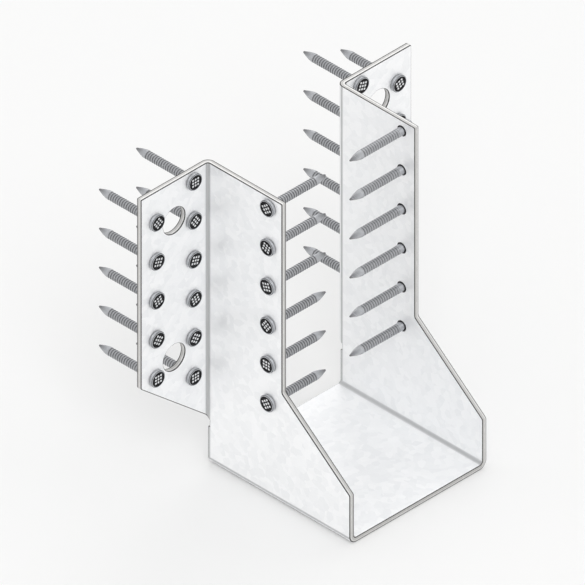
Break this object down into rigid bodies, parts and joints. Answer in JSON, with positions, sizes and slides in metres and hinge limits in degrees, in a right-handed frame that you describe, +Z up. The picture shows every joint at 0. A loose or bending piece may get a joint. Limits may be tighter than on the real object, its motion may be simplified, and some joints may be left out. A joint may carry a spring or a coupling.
{
  "type": "joist hanger",
  "caption": "Face-fixed joist hanger folded from one galvanised steel sheet, with a seat, two side plates and two outward flanges, and the nails that fix it.",
  "frame": {"origin": "middle of the seat's flat underside, half way between the side plates and half way along the seat", "axes": "+X across the hanger from one side plate to the other, +Y from the joist towards the header beam's face, +Z up"},
  "size_m": [0.16, 0.1172, 0.1545],
  "materials": {
    "galvanised_sheet": "pre-galvanised sheet, pale and satin with a fine spangle, bare steel at the sheared edges",
    "nail_zinc": "zinc plated, darker and glossier than the sheet"
  },
  "bodies": {
    "root": {"hanger_sheet": "galvanised_sheet", "left_flange_nail_inner_1": "nail_zinc", "left_flange_nail_inner_2": "nail_zinc", "left_flange_nail_inner_3": "nail_zinc", "left_flange_nail_inner_4": "nail_zinc", "left_flange_nail_inner_5": "nail_zinc", "left_flange_nail_inner_6": "nail_zinc", "left_flange_nail_outer_1": "nail_zinc", "left_flange_nail_outer_2": "nail_zinc", "left_flange_nail_outer_3": "nail_zinc", "left_flange_nail_outer_4": "nail_zinc", "left_flange_nail_outer_5": "nail_zinc", "left_side_nail_1": "nail_zinc", "left_side_nail_2": "nail_zinc", "left_side_nail_3": "nail_zinc", "left_side_nail_4": "nail_zinc", "left_side_nail_5": "nail_zinc", "left_side_nail_6": "nail_zinc", "right_flange_nail_inner_1": "nail_zinc", "right_flange_nail_inner_2": "nail_zinc", "right_flange_nail_inner_3": "nail_zinc", "right_flange_nail_inner_4": "nail_zinc", "right_flange_nail_inner_5": "nail_zinc", "right_flange_nail_inner_6": "nail_zinc", "right_flange_nail_outer_1": "nail_zinc", "right_flange_nail_outer_2": "nail_zinc", "right_flange_nail_outer_3": "nail_zinc", "right_flange_nail_outer_4": "nail_zinc", "right_flange_nail_outer_5": "nail_zinc", "right_side_nail_1": "nail_zinc", "right_side_nail_2": "nail_zinc", "right_side_nail_3": "nail_zinc", "right_side_nail_4": "nail_zinc", "right_side_nail_5": "nail_zinc", "right_side_nail_6": "nail_zinc"}
  },
  "joints": []
}
